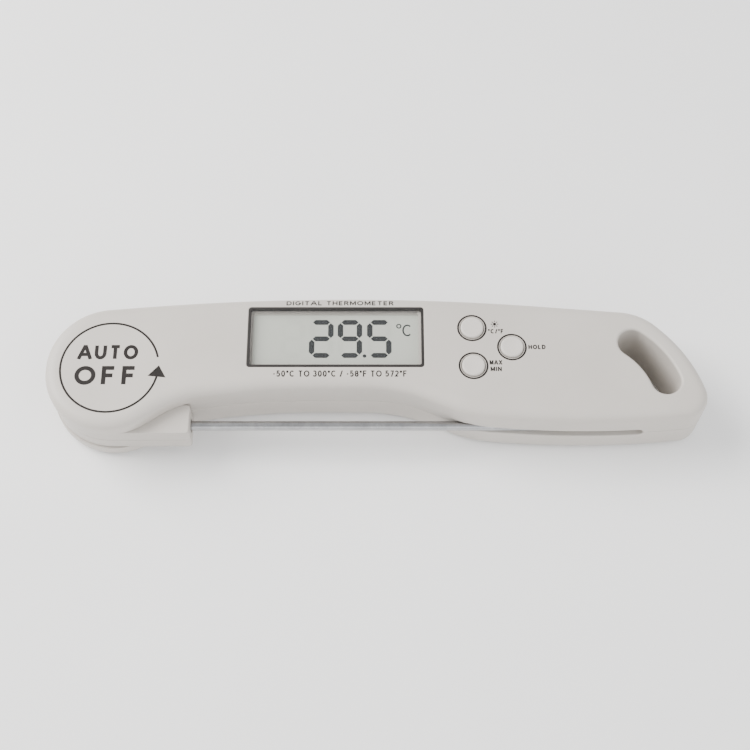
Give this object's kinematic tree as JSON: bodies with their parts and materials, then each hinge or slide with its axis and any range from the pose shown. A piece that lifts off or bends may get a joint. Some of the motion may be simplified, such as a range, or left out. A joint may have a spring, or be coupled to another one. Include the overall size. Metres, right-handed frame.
{
  "type": "meat thermometer",
  "caption": "Folding instant-read meat thermometer: flat case with a display, round keys and a hanging slot, and a steel probe that swings out of its lower edge.",
  "frame": {"origin": "on the back's resting plane, below the middle of the folded outline", "axes": "+X along the case from the hinge to the hanging slot, +Y to the edge away from the folded probe, +Z out of the display"},
  "size_m": [0.1721, 0.0379, 0.0196],
  "materials": {
    "case_plastic": "satin",
    "arm_plastic": "satin",
    "key_plastic": "satin",
    "bezel_plastic": "satin",
    "window_clear": "clear",
    "lcd_glass": "reflective",
    "black_plastic": "matt",
    "light_guide": "glossy",
    "pcb_green": "satin",
    "chip_black": "satin",
    "ceramic_parts": "matt",
    "reed_glass": "clear",
    "seal_rubber": "matt",
    "pad_rubber": "matt",
    "carbon_rubber": "matt",
    "screw_steel": "satin",
    "probe_steel": "brushed",
    "spring_steel": "satin",
    "cell_steel": "bright",
    "contact_brass": "bright",
    "magnet_nickel": "plated",
    "bush_bronze": "satin",
    "sensor_bead": "glossy",
    "lead_sleeve": "satin"
  },
  "bodies": {
    "case": {"front_case": "case_plastic", "back_case": "case_plastic", "case_gasket": "seal_rubber", "case_screws": "screw_steel", "display_bezel": "bezel_plastic", "display_window": "window_clear", "lcd_panel": "lcd_glass", "lcd_holder": "black_plastic", "backlight": "light_guide", "zebra_strip": "pad_rubber", "circuit_board": "pcb_green", "processor_blob": "chip_black", "board_components": "ceramic_parts", "reed_switch": "reed_glass", "board_screws": "screw_steel", "keypad_base": "pad_rubber", "light_web": "pad_rubber", "hold_web": "pad_rubber", "memory_web": "pad_rubber", "battery_holder": "black_plastic", "coin_cell": "cell_steel", "battery_plus_contact": "contact_brass", "battery_minus_contact": "contact_brass", "back_magnets": "magnet_nickel", "pivot_bushes": "bush_bronze", "friction_washer": "spring_steel", "board_leads": "lead_sleeve"},
    "probe": {"probe_arm_front": "arm_plastic", "probe_arm_back": "arm_plastic", "arm_screws": "screw_steel", "probe_tube": "probe_steel", "probe_ferrule": "probe_steel", "temperature_sensor": "sensor_bead", "sensor_leads": "lead_sleeve", "hub_magnet": "magnet_nickel", "hub_seal": "seal_rubber"},
    "light_button": {"light_key": "key_plastic", "light_pill": "carbon_rubber"},
    "hold_button": {"hold_key": "key_plastic", "hold_pill": "carbon_rubber"},
    "memory_button": {"memory_key": "key_plastic", "memory_pill": "carbon_rubber"},
    "seal": {"cover_seal": "seal_rubber"},
    "cover": {"battery_cover": "case_plastic"}
  },
  "joints": [
    {"name": "probe_fold", "type": "hinge", "parent": "case", "child": "probe", "pos_m": [-0.069, -0.002, 0.0095], "axis": [0, 0, -1], "range_deg": [0, 180]},
    {"name": "light_press", "type": "slide", "parent": "case", "child": "light_button", "axis": [0, 0, -1], "range_m": [0, 0.0008], "stiffness_N_per_m": 900, "springref_m": -0.0003, "deforming": ["light_web"]},
    {"name": "hold_press", "type": "slide", "parent": "case", "child": "hold_button", "axis": [0, 0, -1], "range_m": [0, 0.0008], "stiffness_N_per_m": 900, "springref_m": -0.0003, "deforming": ["hold_web"]},
    {"name": "memory_press", "type": "slide", "parent": "case", "child": "memory_button", "axis": [0, 0, -1], "range_m": [0, 0.0008], "stiffness_N_per_m": 900, "springref_m": -0.0003, "deforming": ["memory_web"]},
    {"name": "cover_rise", "type": "slide", "parent": "case", "child": "seal", "axis": [0, 0, -1], "range_m": [0, 0.0036]},
    {"name": "cover_turn", "type": "hinge", "parent": "seal", "child": "cover", "pos_m": [0.045, 0.0018, 0.002], "axis": [0, 0, -1], "range_deg": [0, 360]}
  ],
  "couplings": [
    {"joint": "cover_turn", "follows": "cover_rise", "rad_per_m": 1745}
  ]
}
